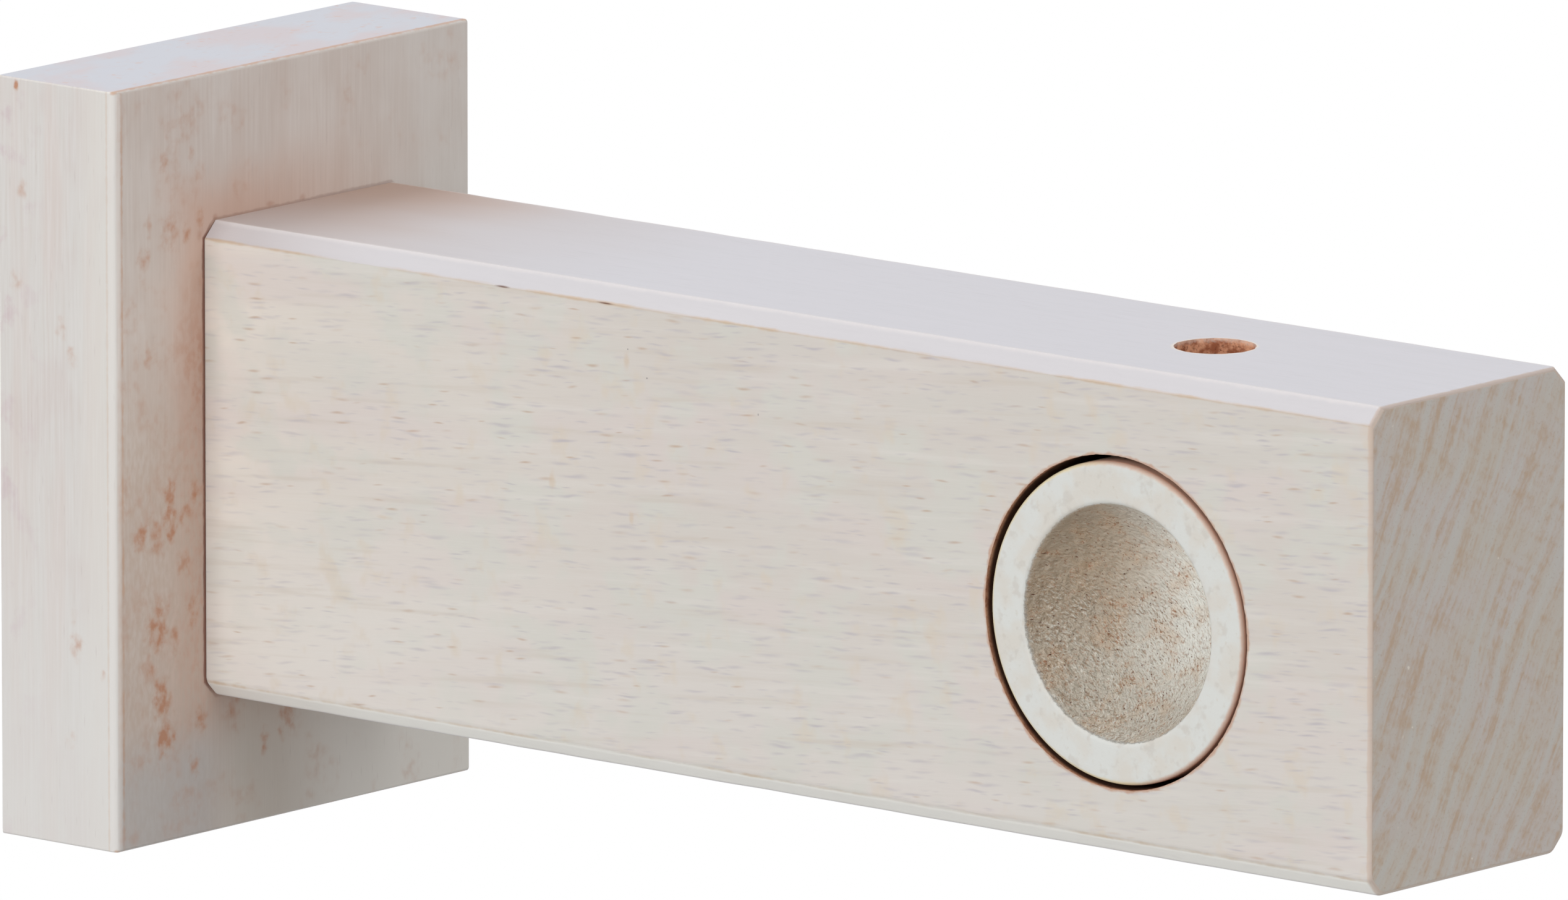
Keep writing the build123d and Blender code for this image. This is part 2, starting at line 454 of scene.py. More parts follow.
    fold_y = g.absolute(g.y - arm_mid.y)
    fold_z = g.absolute(g.z - arm_mid.z)
    half_y = (arm_high.y - arm_low.y) / 2
    half_z = (arm_high.z - arm_low.z) / 2
    ragged = g.noise(g.join(g.x * 0.7, g.y * 0.9, g.z * 0.9), detail=3.0)
    patchy = g.noise(g.join(g.x * 0.09, g.y * 0.2, g.z * 0.2), detail=2.0)
    side_arris = g.distance(fold_y - half_y, fold_z - (half_z - arm_chamfer))
    worn = g.step(side_arris + (ragged - 0.5) * 0.3, 0.26, 0.02) * g.step(patchy, 0.3, 0.6)
    base = g.tint(worn * 0.65, base, 198, 168, 132)
    top_arris = g.distance(fold_y - (half_y - arm_chamfer), fold_z - half_z)
    faint = g.step(top_arris + (ragged - 0.5) * 0.4, 0.5, 0.05)
    base = g.tint(faint * 0.5, base, 223, 217, 216)
    end_arris = g.step(g.x + (ragged - 0.5) * 0.3, arm_high.x - 0.42, arm_high.x - 0.2)
    base = g.tint(end_arris * 0.6, base, 202, 178, 160)

    bore_gap = g.distance(g.x - bore_x, g.z - bore_z) - bore_radius
    torn = g.step(bore_gap + (ragged - 0.5) * 0.7, 0.3, 0.02) * upright
    base = g.tint(torn * 0.75, base, 190, 146, 118)

    hole_gap = g.distance(g.x - bore_x, g.y - arm_mid.y) - hole_radius
    lifted = g.step(hole_gap + (ragged - 0.5) * 0.4, 0.4, 0.1) * level * g.step(g.z, 0.0, 10.0)
    base = g.tint(lifted * 0.6, base, 236, 224, 210)

    tans = g.greatest(
        g.spot((62.2, arm_low.y, 14.4), (0.5, 3.0, 1.1)),
        g.spot((53.7, arm_low.y, 2.9), (0.5, 3.0, 1.2)),
        g.spot((62.7, arm_low.y, 0.7), (0.4, 3.0, 0.8)),
        g.spot((34.4, arm_low.y, -2.9), (1.2, 3.0, 0.25)) * 0.8,
    )
    base = g.tint(tans * 0.35, base, 204, 176, 142)
    dashes = g.greatest(
        g.spot((48.0, arm_low.y, 19.2), (1.1, 1.0, 0.14), 0.2),
        g.spot((59.8, arm_low.y, 19.2), (1.3, 1.0, 0.12), 0.2),
    )
    base = g.tint(dashes * 0.9, base, 108, 72, 58)
    pins = g.greatest(
        g.spot((64.52, arm_low.y, 13.2), (0.12, 1.0, 0.12), 0.0),
        g.spot((62.35, arm_low.y, 15.48), (0.1, 1.0, 0.1), 0.0),
        g.spot((77.1, arm_low.y, 11.6), (0.08, 1.0, 0.16), 0.0),
    )
    base = g.tint(pins * 0.8, base, 104, 100, 104)

    fibre = g.noise(g.join(along * 0.25, across * 5.0, 2.0), detail=3.0)
    g.bump(fibre * 0.6 + streaks * 0.4 - grey_marks * 0.3, 0.02)
    return g.finish(base)


def end_paint():
    """Limed end grain on the arm's end, crossed by slanting brown rays."""
    g = Graph("limed_beech_end", 0.68)
    lean = math.radians(30)
    bend = g.noise(g.join(g.y * 0.06, g.z * 0.06, 1.0), detail=1.0) - 0.5
    ray = g.y * math.sin(lean) + g.z * math.cos(lean)
    cross = g.y * math.cos(lean) - g.z * math.sin(lean) + bend * 4.0
    bands = g.noise(g.join(ray * 0.06, cross * 0.8, 4.0), detail=2.0, roughness=0.5)
    threads = g.noise(g.join(ray * 0.1, cross * 2.6, 34.0), detail=2.0, roughness=0.5)
    beads = g.noise(g.join(ray * 1.3, cross * 2.6, 6.0), detail=2.0, roughness=0.5)
    rings = g.noise(g.join(ray * 0.9, cross * 0.2, 16.0), detail=2.0)
    pores = g.noise(g.join(g.y * 3.5, g.z * 3.5, 9.0), detail=3.0)
    hue = g.noise(g.join(g.y * 0.12, g.z * 0.12, 19.0), detail=2.0)
    base = g.blend(g.step(hue, 0.35, 0.65), colour(199, 190, 184), colour(198, 189, 178))
    base = g.tint(g.step(bands, 0.52, 0.34) * 0.6, base, 198, 196, 191)
    base = g.tint(g.step(threads, 0.5, 0.7) * 0.35, base, 204, 199, 192)
    streaks = g.step(bands * 0.5 + threads * 0.3 + beads * 0.3 + rings * 0.3, 0.66, 0.88)
    base = g.tint(streaks * 0.8, base, 190, 164, 140)
    base = g.tint(g.step(pores, 0.56, 0.75) * 0.35, base, 170, 144, 122)
    pale = g.step(g.noise(g.join(g.y * 1.4, g.z * 1.4, 25.0), detail=1.0), 0.76, 0.84)
    base = g.tint(pale * 0.8, base, 228, 220, 208)
    ragged = g.noise(g.join(g.y * 0.9, g.z * 0.9, 29.0), detail=3.0)
    rim_z = g.step(g.z + (ragged - 0.5) * 0.2, arm_high.z - 0.42, arm_high.z - 0.3)
    base = g.tint(rim_z * 0.5, base, 190, 162, 138)
    rim_y = g.step(g.y + (ragged - 0.5) * 0.3, arm_low.y + 0.6, arm_low.y + 0.3)
    base = g.tint(rim_y * 0.5, base, 198, 172, 152)
    g.bump(pores * 0.5 + beads * 0.5, 0.03)
    return g.finish(base)


def raw_wood():
    """Bare drilled beech, reddish brown and rough."""
    g = Graph("raw_beech", 0.85, 0.15)
    coarse = g.mottle(0.9, detail=4.0, roughness=0.65)
    fine = g.mottle(4.0, detail=3.0)
    base = g.blend(g.step(coarse, 0.3, 0.7), colour(150, 100, 78), colour(206, 158, 128))
    base = g.tint(g.step(fine, 0.58, 0.72) * 0.6, base, 112, 68, 50)
    depth = (arm_high.y - arm_low.y) / 2 - g.absolute(g.y - arm_mid.y)
    from_bore = g.distance(g.x - bore_x, g.z - bore_z)
    in_bore = g.step(from_bore, bore_radius + 0.5, bore_radius + 0.3)
    # Painted shade: the bore's wall darkens with depth, away from its mouths.
    deep_bore_shade = g.step(depth + (coarse - 0.5) * 0.3, 0.1, 0.65) * in_bore
    base = g.tint(deep_bore_shade * 0.9, base, 48, 26, 20)
    mouth = g.step(g.z + (fine - 0.5) * 0.7, arm_high.z - 0.5, arm_high.z - 0.05)
    hole_tone = g.blend(g.step(coarse, 0.38, 0.62), colour(150, 88, 60), colour(218, 160, 126))
    hole_tone = g.tint(g.step(fine, 0.56, 0.7) * 0.7, hole_tone, 96, 52, 36)
    base = g.blend((1 - in_bore) * 0.85, base, hole_tone)
    base = g.tint(mouth * 0.5, base, 226, 204, 190)
    g.bump(coarse * 0.6 + fine * 0.4, 0.12)
    return g.finish(base)


def plate_paint():
    """Limed beech on the back plate, its grain upright, stained brown on the front."""
    g = Graph("limed_beech_plate", 0.62)
    front = g.step(g.nx, 0.7, 0.95)
    top = g.step(g.absolute(g.nz), 0.8, 0.97)
    flat = g.pick(g.step(g.absolute(g.nx), 0.7, 0.95), g.x, g.y)
    across = g.pick(top, flat, g.x + g.y * 0.2)
    along = g.pick(top, g.z, g.y)
    bands = g.noise(g.join(across * 0.3, along * 0.03, 2.0), detail=2.0)
    lines = g.noise(g.join(across * 3.5, along * 0.12, 5.0), detail=3.0)
    patches = g.noise(g.join(across * 0.15, along * 0.09, 11.0), detail=3.0)
    side = g.blend(g.step(bands, 0.4, 0.62), colour(214, 210, 206), colour(214, 205, 200))
    side = g.tint(g.step(patches, 0.5, 0.66) * 0.6, side, 210, 200, 196)
    mauve = g.noise(g.join(g.x * 0.3, g.z * 0.25, g.y * 0.3 + 78.0), detail=4.0, roughness=0.6)
    mauve = g.step(mauve, 0.52, 0.68) * g.step(g.x, 7.0, 0.5)
    side = g.tint(mauve * 0.8, side, 206, 190, 192)
    side = g.tint(g.step(lines, 0.45, 0.7) * 0.35, side, 223, 220, 218)
    side = g.tint(g.step(lines, 0.45, 0.28) * 0.3, side, 205, 194, 186)
    side = g.tint(g.step(g.x, 8.5, 11.5) * 0.55, side, 221, 218, 212)
    side = g.tint(g.step(g.z, 5.0, -30.0) * 0.6, side, 219, 217, 214)
    face = g.blend(g.step(patches, 0.4, 0.6), colour(213, 203, 196), colour(208, 196, 188))
    face = g.tint(g.step(lines, 0.45, 0.72) * 0.3, face, 222, 214, 208)
    face = g.tint(g.step(lines, 0.45, 0.28) * 0.25, face, 198, 182, 172)
    face = g.tint(g.step(bands, 0.5, 0.62) * 0.3, face, 204, 188, 178)
    # Painted light: the top faces take a cool tint that stands for cool light from above.
    level = g.blend(g.step(patches, 0.42, 0.6), colour(207, 209, 217), colour(211, 203, 207))
    arm_gap_y = g.absolute(g.y - arm_mid.y) - (arm_high.y - arm_low.y) / 2
    arm_gap_z = g.absolute(g.z - arm_mid.z) - (arm_high.z - arm_low.z) / 2
    arm_gap = g.greatest(arm_gap_y, arm_gap_z) + (patches - 0.5) * 6.0
    # Round the arm's root: lime worn thin to the warm wood, together with painted shade.
    thin_lime_and_root_shade = g.step(arm_gap, 7.0, 0.0)
    face = g.tint(thin_lime_and_root_shade * g.step(g.y, 12.0, -9.0, 0.1, 0.7), face, 204, 166, 146)
    flush = g.step(g.z, 19.0, 10.0) * g.step(g.z, -25.0, -17.0) * g.step(g.y, -17.0, -12.0)
    dots = g.noise(g.join(g.y * 1.2, g.z * 1.0, g.x * 1.2), detail=3.0, roughness=0.45)
    flush = flush * (1 - patches) * g.step(dots, 0.36, 0.62, 0.45, 1.2)
    face = g.tint(flush, face, 192, 145, 124)
    # Lime kept clean to the right of the arm, together with painted light that lifts it more
    # towards the bottom.
    clear = g.step(g.y, 4.0, 20.0) * g.step(g.z, 30.0, -20.0, 0.3, 1.0)
    face = g.tint(clear * 0.9, face, 219, 217, 213)
    weave = g.noise(g.join(g.y * 2.2, g.z * 0.9, 81.0), detail=2.0)
    wash = g.step(g.y, -8.0, -13.0) * g.step(g.z, 12.0, -2.0)
    face = g.tint(wash * g.step(weave, 0.3, 0.7, 0.35, 0.9), face, 200, 182, 169)
    # Painted shade: greyer towards the bottom left, under the arm.
    grey = g.step(g.z, -22.0, -28.0) * g.step(g.y, -8.0, -13.0)
    face = g.tint(grey * 0.6, face, 190, 189, 188)
    # Painted shade: a duller, greyer tone below the arm on the left.
    under = g.step(g.z, -20.0, -23.0) * g.step(g.y, -13.0, -6.0)
    face = g.tint(under * 0.7, face, 206, 199, 188)
    # Painted light: paler below the arm on the right, offsetting the arm's shadow.
    under = g.step(g.z, -20.0, -23.0) * g.step(g.y, -4.0, 8.0)
    face = g.tint(under * 0.9, face, 229, 225, 218)
    base = g.blend(front, side, face)
    base = g.blend(top, base, level)

    drift = g.noise(g.join(g.y * 0.22, g.z * 0.18, g.x * 0.22 + 12.0), detail=3.0)
    strip = g.step(g.y, -9.0, -14.0)
    crowd = g.step(drift + strip * 0.1, 0.52, 0.72) * front
    clusters = crowd * 0.35
    for y_at, z_at, size, share in (
        (-17.1, 26.7, 0.9, 0.7), (-13.4, 26.9, 0.5, 0.6), (-12.3, 25.1, 0.8, 0.7),
        (-16.3, 20.3, 1.6, 0.7), (-19.1, 21.2, 0.8, 0.6), (-12.3, 21.2, 0.7, 1.0),
        (-14.2, 20.2, 0.7, 0.9), (-19.8, 18.3, 1.0, 0.7), (-18.8, 10.0, 1.2, 0.6),
        (-18.0, -6.0, 1.8, 0.8), (-13.2, -3.0, 1.0, 0.9), (-18.0, -14.5, 2.0, 1.0),
        (-13.5, -13.8, 1.2, 1.0), (-15.9, -15.8, 1.2, 0.9), (-19.1, -18.1, 1.4, 0.7),
        (-17.7, -20.9, 1.5, 1.2), (-17.0, -24.3, 1.6, 1.1), (-12.5, -23.6, 1.0, 1.0),
        (-13.2, -27.4, 0.9, 0.8), (-4.1, -26.6, 0.8, 0.9), (-1.0, -24.9, 1.5, 0.8),
        (-20.3, -6.2, 1.2, 1.0), (-16.5, -5.6, 1.5, 1.1), (-14.4, -4.8, 1.2, 0.9),
        (-16.4, -2.5, 1.2, 1.0), (-14.6, -9.5, 1.2, 0.8), (-8.0, -23.5, 1.4, 0.6),
    ):
        patch = g.spot((plate_high.x, y_at, z_at), (3.0, size * 1.3, size * 2.0)) * share
        clusters = g.greatest(clusters, patch)
    for x_at, z_at, size, share in (
        (8.9, -15.9, 1.2, 0.7), (8.6, -13.4, 0.8, 0.5), (12.0, -18.1, 0.5, 0.6),
        (7.4, 12.2, 1.0, 0.5), (8.6, 9.7, 0.9, 0.7), (2.8, 24.0, 1.0, 0.5),
        (2.1, 15.7, 1.1, 0.5), (8.2, -24.3, 0.9, 0.4), (2.2, 33.0, 0.5, 1.2),
    ):
        patch = g.spot((x_at, plate_low.y, z_at), (size, 3.0, size * 1.4)) * share
        clusters = g.greatest(clusters, patch)
    corner_gap = (arm_gap_y + arm_gap_z + arm_chamfer) / math.sqrt(2)
    seam = g.greatest(arm_gap_y, arm_gap_z, corner_gap)
    seam_dots = g.greatest(
        g.spot((plate_high.x, -12.4, 19.6), (3.0, 0.7, 0.8)),
        g.spot((plate_high.x, -10.3, 20.9), (3.0, 0.5, 0.5)),
        g.spot((plate_high.x, -3.0, 21.0), (3.0, 0.8, 0.4)),
        g.spot((plate_high.x, 1.2, 21.0), (3.0, 0.6, 0.4)),
    )
    base = g.tint(seam_dots * 0.35, base, 170, 118, 94)
    near_seam = g.step(g.y, arm_low.y + 1.5, arm_low.y - 0.1, 0.3, 0.85)
    seam_line = g.step(seam + (dots - 0.5) * 0.3, 0.26, 0.04) * near_seam * front
    base = g.tint(seam_line, base, 134, 88, 74)
    stain = g.step(dots + clusters * 0.2, 0.42, 0.98) * clusters
    base = g.tint(stain * 1.25, base, 188, 136, 108)
    base = g.tint(clusters * 0.14, base, 206, 176, 156)
    streak = g.flecks(along, across, length=1.8, width=0.2, density=0.2, seed=3.0)
    base = g.tint(streak * 0.3, base, 184, 172, 168)

    ragged = g.mottle(1.1, detail=4.0, roughness=0.6)
    broken = g.noise(g.join(g.x * 0.3, g.y * 0.3, g.z * 0.3), detail=2.0)
    half_y = (plate_high.y - plate_low.y) / 2
    outer_arris = g.distance(g.absolute(g.y) - (half_y - 0.02), g.x - (plate_high.x - 0.95))
    # Painted highlight along the rounded front edge on the near side.
    edge_highlight = g.step(g.y, -half_y + 0.9, -half_y + 0.5)
    edge_highlight = edge_highlight * g.step(g.x, plate_high.x - 1.0, plate_high.x - 0.7)
    base = g.tint(edge_highlight * 0.25, base, 226, 222, 219)
    worn = g.step(outer_arris + (ragged - 0.5) * 0.3, 0.16, 0.02) * 0.3
    base = g.tint(worn, base, 206, 178, 154)
    inner_arris = g.distance(g.y + (half_y - 0.9), g.x - plate_high.x)
    worn = g.step(inner_arris + (ragged - 0.5) * 0.5, 0.19, 0.0)
    worn = worn * g.step(broken, 0.35, 0.6, 0.25, 1.0)
    base = g.tint(worn * 0.55, base, 200, 158, 128)
    level_arris = g.distance(g.absolute(g.z) - plate_high.z, g.x - (plate_high.x - 0.35))
    worn = g.step(level_arris + (ragged - 0.5) * 0.5, 0.34, 0.03)
    base = g.tint(worn * 0.7, base, 200, 156, 124)
    haze = g.step(dots, 0.56, 0.72) * g.step(drift, 0.46, 0.6) * top
    base = g.tint(haze * 0.5, base, 214, 182, 170)
    g.bump(lines * 0.6 + patches * 0.4, 0.03)
    return g.finish(base)


def plug_paint():
    """Thick lime on the turned plug: greenish white on the rim, tan and rough in the dish."""
    g = Graph("limed_end_grain", 0.6)
    off_x = g.x - plug_mid.x
    off_z = g.z - plug_mid.z
    radius = g.distance(off_x, off_z)
    smear = g.mottle(0.35, detail=3.0)
    fine = g.mottle(1.6, detail=4.0, roughness=0.6)
    rim = g.blend(g.step(smear, 0.4, 0.65), colour(216, 217, 213), colour(214, 210, 202))
    rim = g.tint(g.step(fine, 0.58, 0.75) * 0.35, rim, 196, 186, 170)
    slope = math.radians(45)
    stroke = off_x * math.cos(slope) + off_z * math.sin(slope)
    along = off_z * math.cos(slope) - off_x * math.sin(slope)
    grains = g.mottle(3.2, detail=4.0, roughness=0.7)
    # Painted light and shade in the dish: darker to the upper left, paler to the right, and a
    # little darker towards the bottom.
    shade = g.step(off_z - off_x * 0.6, -4.0, 8.0)
    dish = g.blend(shade, colour(202, 195, 182), colour(184, 168, 148))
    dish = g.tint(g.step(off_x - off_z * 0.15, -7.5, 3.0), dish, 236, 236, 229)
    dish = g.tint(g.step(off_z, -2.0, -9.0) * 0.6, dish, 188, 178, 162)
    rusty = g.step(g.noise(g.join(g.x * 0.4, g.z * 0.4, 4.0), detail=3.0), 0.46, 0.66)
    dish = g.tint(rusty * 0.4, dish, 204, 172, 140)
    low = g.step(off_z + (smear - 0.5) * 9.0, 4.0, -1.5)
    curl = g.mottle(1.9, detail=1.5)
    breaks = g.mottle(2.6, detail=1.0)
    threads = g.step(g.absolute(curl - 0.5), 0.05, 0.01) * g.step(breaks, 0.49, 0.58)
    dish = g.tint(threads * g.pick(rusty, 0.45, 0.9), dish, 164, 118, 88)
    # Painted highlights and shadows: the stroke noise minus an offset copy lays light on one side
    # of each ridge and shade on the other.
    lit = g.noise(g.join(stroke * 4.6, along * 2.4, g.y * 2.4), detail=2.0)
    shaded = g.noise(g.join(stroke * 4.6 + 0.35, along * 2.4, g.y * 2.4), detail=2.0)
    relief = lit - shaded
    painted_relief_share = g.step(g.mottle(0.7, detail=2.0), 0.38, 0.6, 0.35, 1.0) * g.pick(low, 0.25, 1.0)
    dish = g.tint(g.step(relief, 0.03, 0.15) * painted_relief_share * 0.65, dish, 244, 242, 234)
    dish = g.tint(g.step(relief, -0.03, -0.15) * painted_relief_share * 0.7, dish, 150, 122, 96)
    pits = g.flecks(along, stroke, length=0.22, width=0.14, density=4.0, seed=2.0, keep=0.45)
    dish = g.tint(pits * 1.6, dish, 96, 52, 34)
    frayed = radius + (grains - 0.5) * 0.4
    inside = g.step(frayed, dish_mouth_radius + 0.12, dish_mouth_radius - 0.08)
    inside = inside * g.step(g.y, plug_mid.y + 1.0, plug_mid.y - 1.0)
    smudges = g.step(g.mottle(0.9, detail=3.0), 0.56, 0.7)
    rim = g.tint(smudges * 0.45, rim, 198, 192, 184)
    base = g.blend(inside, rim, dish)
    outer = plug_mid.x - plug_low.x
    # Outer edge of the rim: a painted cream highlight on the left, pinkish bare wood on the
    # right.
    far_side = g.step(off_x + off_z * 0.2, -3.0, 3.0)
    edge = g.step(radius + (fine - 0.5) * 0.3, outer - 0.46, outer - 0.12)
    base = g.blend(edge, base, g.blend(far_side, colour(228, 214, 178), colour(210, 180, 162)))
    brink = g.step(g.y - plug_low.y + (fine - 0.5) * 0.2, 0.2, 0.28)
    brink = brink * g.step(radius, outer - 0.3, outer - 0.2)
    base = g.tint(brink * far_side, base, 226, 178, 154)
    g.bump(inside * g.pick(low, 0.5, 1.0) * (lit * 1.2 + grains * 0.4) + fine * 0.1, 0.32)
    return g.finish(base)


def metal(name, tone, roughness):
    """Plain turned metal with faint tool rings and a little tarnish."""
    g = Graph(name, roughness, 0.5, 1.0)
    tarnish = g.mottle(1.2, detail=3.0)
    darker = tuple(value * 0.7 for value in tone[:3]) + (1.0,)
    base = g.blend(g.step(tarnish, 0.4, 0.7), tone, darker)
    rings = g.mottle(9.0, detail=1.0)
    g.bump(rings, 0.01)
    return g.finish(base, g.step(tarnish, 0.3, 0.7, roughness, roughness + 0.15))


paint_arm = arm_paint()
paint_end = end_paint()
paint_plate = plate_paint()
paint_plug = plug_paint()
bare_wood = raw_wood()
zinc = metal("bright_zinc", colour(206, 208, 210), 0.3)
brass = metal("turned_brass", colour(208, 176, 110), 0.32)


# Arm

upper_arris = 0.12
lower_arris = 1.1
arris_steps = 5
root_ease = 0.16
station_pitch = 1.0
unevenness = 0.03
half_width = (arm_high.y - arm_low.y) / 2
half_height = (arm_high.z - arm_low.z) / 2
inner_y = half_width - arm_chamfer
inner_z = half_height - arm_chamfer
bar_outline = rounded(
    [
        (half_width, -inner_z),
        (half_width, inner_z),
        (inner_y, half_height),
        (-inner_y, half_height),
        (-half_width, inner_z),
        (-half_width, -inner_z),
        (-inner_y, -half_height),
        (inner_y, -half_height),
    ],
    [lower_arris] + [upper_arris] * 4 + [lower_arris] * 3,
    arris_steps,
)

arm_stations = [
    (arm_low.x, root_ease),
    (arm_low.x + 0.05, root_ease / 2),
    (arm_low.x + root_ease, 0.0),
]
full_end = arm_high.x - arm_end_ease
x_now = arm_low.x + station_pitch
while x_now < full_end - station_pitch / 2:
    arm_stations.append((x_now, 0.0))
    x_now += station_pitch
for turn in range(0, 91, 15):
    bend = math.radians(turn)
    arm_stations.append(
        (full_end + arm_end_ease * math.sin(bend), arm_end_ease * (1 - math.cos(bend)))
    )

arm_rings = []
for x_now, inset in arm_stations:
    ring = []
    for index, (y_out, z_out) in enumerate(bar_outline):
        corner = index // (arris_steps + 1)
        uneven = unevenness * (1 + wander((x_now, corner * 9.0, 0.0), 5.0, 1))
        share_y = (half_width - inset - uneven) / half_width
        share_z = (half_height - inset - uneven) / half_height
        ring.append((x_now, arm_mid.y + y_out * share_y, arm_mid.z + z_out * share_z))
    arm_rings.append(ring)
arm = loft("bracket_arm", arm_rings, [paint_arm, paint_end])
for polygon in arm.data.polygons:
    if polygon.center.x > (arm_high.x - 0.02) * MM:
        polygon.material_index = 1


def bore_edge(point, radius, along):
    """Roughens the bore's wall and tears its two edges a little."""
    spread = Vector((point.x - bore_x, 0.0, point.z - bore_z))
    out = spread.normalized()
    nearness = 1 - min(abs(along - arm_low.y), abs(along - arm_high.y)) / 0.5
    tear = max(0.0, wander(point, 1.3, 4)) * 0.05 + abs(wander(point, 0.3, 5)) * 0.09
    wall = 0.02 * wander(point, 1.0, 6) - 0.02
    return point + out * (tear * max(0.0, min(1.0, nearness)) + wall)


bore_reach = 2.0
bore_pitch = 0.6
bore_steps = 360
mouth_depths = (-0.5, 0.0, 0.08, 0.2, 0.35, 0.5)
bore_profile = [(0, arm_low.y - bore_reach), (bore_radius, arm_low.y - bore_reach)]
bore_profile += [(bore_radius, arm_low.y + depth) for depth in mouth_depths]
y_now = arm_low.y + 1.0
while y_now < arm_high.y - 0.9:
    bore_profile.append((bore_radius, y_now))
    y_now += bore_pitch
bore_profile += [(bore_radius, arm_high.y - depth) for depth in reversed(mouth_depths)]
bore_profile += [(bore_radius, arm_high.y + bore_reach), (0, arm_high.y + bore_reach)]
cut(
    arm,
    turned(
        "bore_cut", (bore_x, bore_z), "Y", bore_profile, bore_steps, [bare_wood], bore_edge
    ),
)


def hole_edge(point, radius, along):
    """Roughens the small hole's wall and the edge of its mouth."""
    if radius == 0:
        return point
    out = Vector((point.x - bore_x, point.y - arm_mid.y, 0.0)).normalized()
    nearness = 1 - abs(along - arm_high.z) / 0.35
    tear = max(0.0, wander(point, 0.8, 14)) * 0.16 + 0.05
    wall = 0.06 * wander(point, 0.6, 16)
    return point + out * (tear * max(0.0, min(1.0, nearness)) + wall)


hole_reach = 1.5
hole_steps = 128
hole_depths = (0.0, 0.1, 0.25, 0.4, 0.7, 1.0, 1.3, 1.6, 2.0, 2.4, 2.8, 3.2, 3.6, 4.0, 4.3)
pass_end_z = bore_z + 12.0
hole_profile = [(0, arm_high.z + hole_reach), (hole_radius, arm_high.z + hole_reach)]
hole_profile += [(hole_radius, arm_high.z - depth) for depth in hole_depths]
hole_profile += [
    (hole_radius, hole_floor_z),
    (pass_radius, hole_floor_z),
    (pass_radius, pass_end_z),
    (0, pass_end_z),
]
cut(
    arm,
    turned(
        "hole_cut", (bore_x, arm_mid.y), "Z", hole_profile, hole_steps, [bare_wood], hole_edge
    ),
)


def drill(piece, name, centre, radius, start_x, end_x, steps):
    """Drills a plain round hole along X."""
    profile = [(0, start_x), (radius, start_x), (radius, end_x), (0, end_x)]
    cut(piece, turned(name, centre, "X", profile, steps, [bare_wood]))


drill_start_x = arm_low.x - 1.0
joint_places = (arm_mid.z + joint_half_spacing, arm_mid.z - joint_half_spacing)
for place in joint_places:
    drill(
        arm,
        "joint_cut",
        (arm_mid.y, place),
        joint_hole_radius,
        drill_start_x,
        joint_hole_end_x,
        steps=48,
    )
relief_end_x = arm_low.x + relief_depth
drill(arm, "relief_cut", (0, 0), relief_radius, drill_start_x, relief_end_x, steps=64)
settle(arm)


# Back plate

plate_half_y = plate_high.y
plate_half_z = plate_high.z
plate_corner = 0.2
plate_outline = rounded(
    [
        (plate_half_y, -plate_half_z),
        (plate_half_y, plate_half_z),
        (-plate_half_y, plate_half_z),
        (-plate_half_y, -plate_half_z),
    ],
    [plate_corner] * 4,
)
back_ease = 0.2


def ease_inset(x_now, radius):
    """How far a face has drawn in at x_now where the plate's front edge is rounded."""
    over = x_now - (plate_high.x - radius)
    if over <= 0:
        return 0.0
    return radius - math.sqrt(max(0.0, radius**2 - over**2))


plate_xs = {back_ease, back_ease * 0.4, 0.0}
plate_xs |= {1.0 + step * 0.9 for step in range(13)}
for ease, turn_step in ((plate_upright_ease, 9), (plate_level_ease, 15)):
    for turn in range(0, 91, turn_step):
        plate_xs.add(plate_high.x - ease * (1 - math.sin(math.radians(turn))))
plate_rings = []
for x_now in sorted(plate_xs):
    back_inset = max(0.0, back_ease - x_now)
    near_inset = ease_inset(x_now, plate_upright_ease) + back_inset
    other_inset = ease_inset(x_now, plate_level_ease) + back_inset
    ring = []
    for y_out, z_out in plate_outline:
        inset_y = near_inset if y_out < 0 else other_inset
        ring.append(
            (
                x_now,
                y_out * (plate_half_y - inset_y) / plate_half_y,
                z_out * (plate_half_z - other_inset) / plate_half_z,
            )
        )
    plate_rings.append(ring)
plate = loft("bracket_plate", plate_rings, [paint_plate])
before_x = plate_low.x - 1.0
beyond_x = plate_high.x + 1.0
for place in joint_places:
    profile = [
        (0, before_x),
        (countersink_radius + 1.0, before_x),
        (plate_pass_radius, countersink_radius - plate_pass_radius),
        (plate_pass_radius, beyond_x),
        (0, beyond_x),
    ]
    cut(plate, turned("screw_cut", (arm_mid.y, place), "X", profile, 64, [bare_wood]))
drill(plate, "insert_cut", (0, 0), insert_hole_radius, before_x, beyond_x, steps=96)
settle(plate)


# Cup plug

plug_radius = plug_mid.x - plug_low.x
near_y = plug_low.y
far_y = plug_high.y
dish_radius = (dish_mouth_radius**2 + dish_depth**2) / (2 * dish_depth)
dish_centre_y = near_y + dish_depth - dish_radius
dish_steps = 96
plug_steps = 440


def plug_surface(point, radius, along):
    """Presses the dish's brushed, pitted relief into the plug."""
    if radius > dish_mouth_radius or along > near_y + dish_depth + 1:
        return point
    spread = Vector((point.x - plug_mid.x, along, point.z - plug_mid.z))
    turned_place = Vector(
        ((spread.x + spread.z) * 0.7, spread.y * 0.7, (spread.z - spread.x) * 0.25)
    )
    relief = 0.1 * wander(turned_place, 0.5, 21) + 0.08 * wander(point, 0.5, 22)
    fade = min(1.0, (dish_mouth_radius - radius) / 0.3)
    towards = (Vector((plug_mid.x, dish_centre_y, plug_mid.z)) - point).normalized()
    return point + towards * (relief - 0.05) * fade


